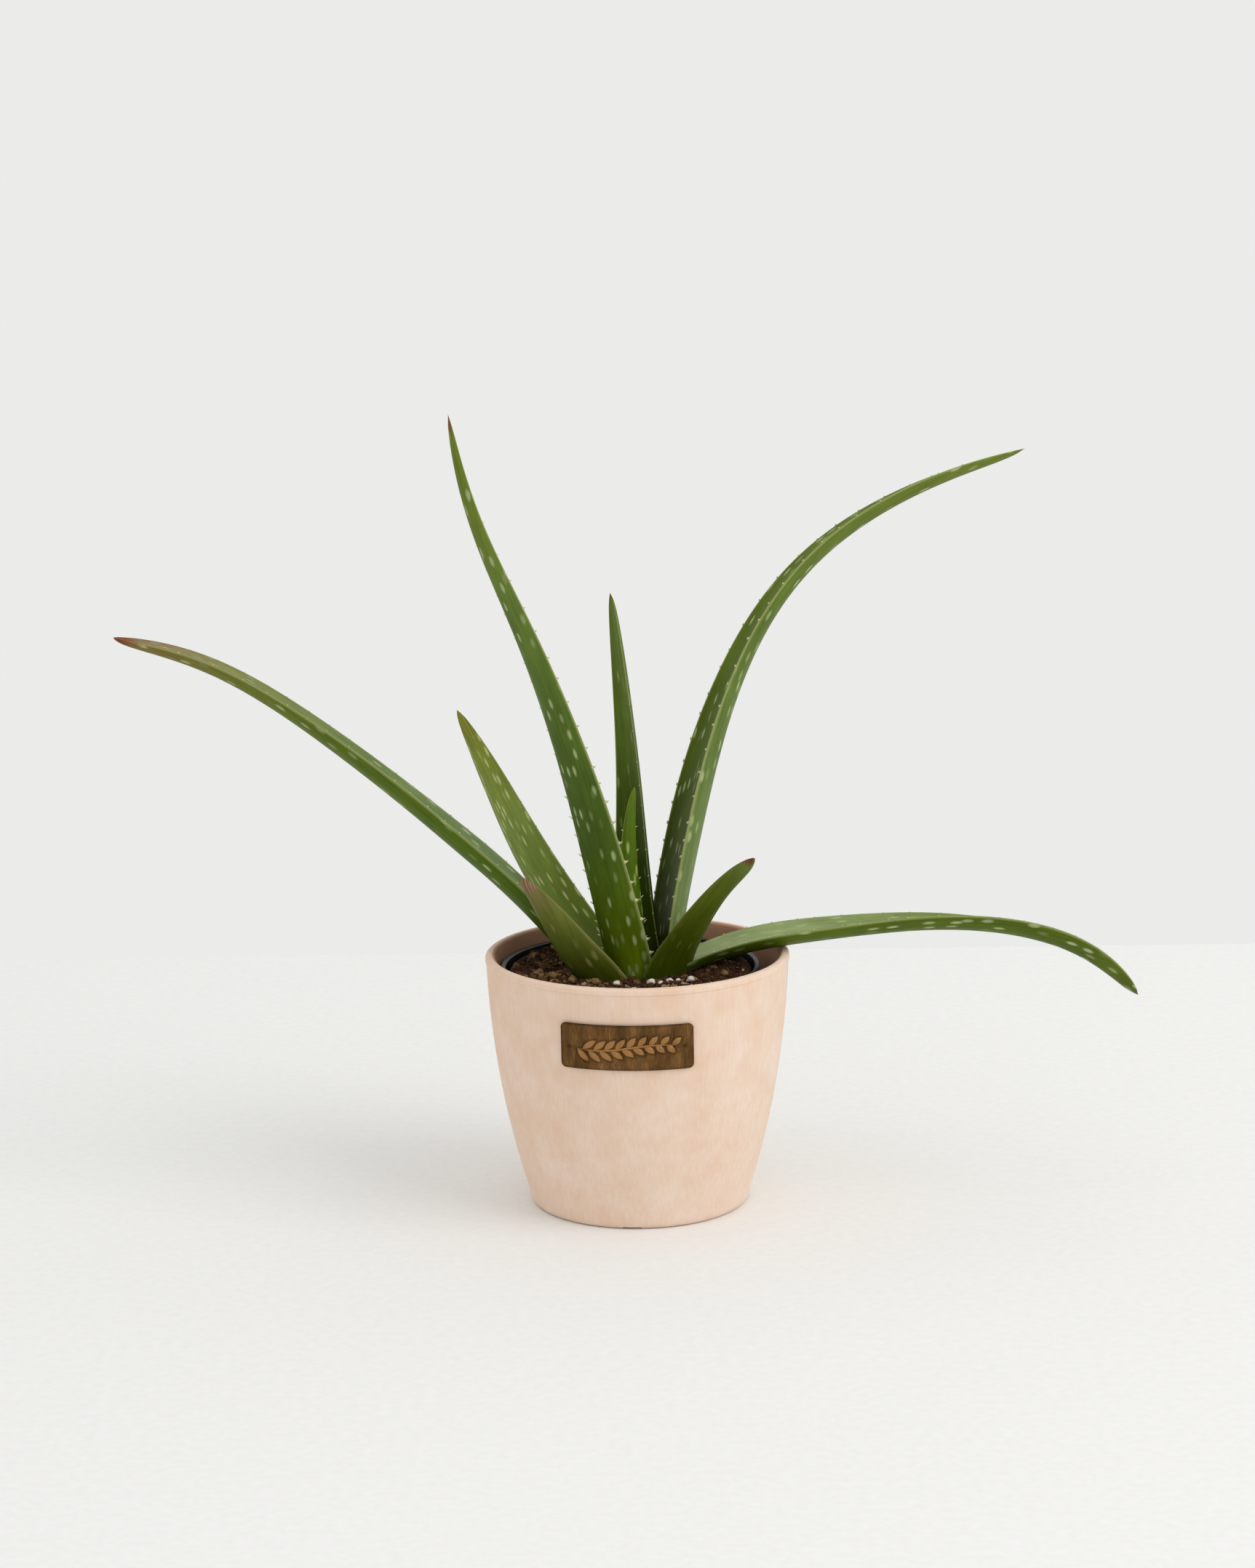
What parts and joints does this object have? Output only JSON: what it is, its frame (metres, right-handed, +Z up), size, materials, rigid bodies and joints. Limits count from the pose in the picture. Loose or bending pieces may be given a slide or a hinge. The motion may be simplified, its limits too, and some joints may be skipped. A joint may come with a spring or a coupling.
{
  "type": "potted aloe plant",
  "caption": "Young aloe with long tapering leaves in a nursery pot, standing inside a round tapered cover pot with a small blank brass plate.",
  "frame": {"origin": "middle of the cover pot's flat underside, on the surface it stands on", "axes": "+Z up along the pot's axis, -Y towards the front with the brass plate, +X to the right, along the plant's widest spread"},
  "size_m": [0.4362, 0.1509, 0.3451],
  "materials": {
    "pot_composite": "matte, dry, chalky streaks",
    "foam_tape": "matte foam",
    "antique_brass": "antiqued, brushed upright",
    "nursery_plastic": "satin",
    "potting_mix": "loose, damp, coarse",
    "root": "matte",
    "young_leaf": "waxy satin, pale flecks",
    "leaf_blade": "waxy satin, pale flecks",
    "pale_leaf": "waxy satin, pale flecks, brown tip",
    "dark_leaf": "waxy satin, dried tip",
    "wilted_leaf": "dull, brown towards the tip",
    "perlite": "matte, porous",
    "pumice": "matte, porous"
  },
  "bodies": {
    "root": {"cover_pot": "pot_composite", "plate_pad": "foam_tape", "brass_plate": "antique_brass", "nursery_pot": "nursery_plastic", "soil": "potting_mix", "rootstock": "root", "leaf_heart": "young_leaf", "leaf_upright": "leaf_blade", "leaf_arching": "leaf_blade", "leaf_tall": "leaf_blade", "leaf_short_left": "pale_leaf", "leaf_long_left": "leaf_blade", "leaf_low_right": "leaf_blade", "leaf_short_right": "dark_leaf", "leaf_wilted": "wilted_leaf", "perlite_1": "perlite", "perlite_2": "perlite", "perlite_3": "perlite", "perlite_4": "perlite", "perlite_5": "perlite", "perlite_6": "perlite", "pumice_1": "pumice", "pumice_2": "pumice", "pumice_3": "pumice", "pumice_4": "pumice", "pumice_5": "pumice", "pumice_6": "pumice"}
  },
  "joints": []
}
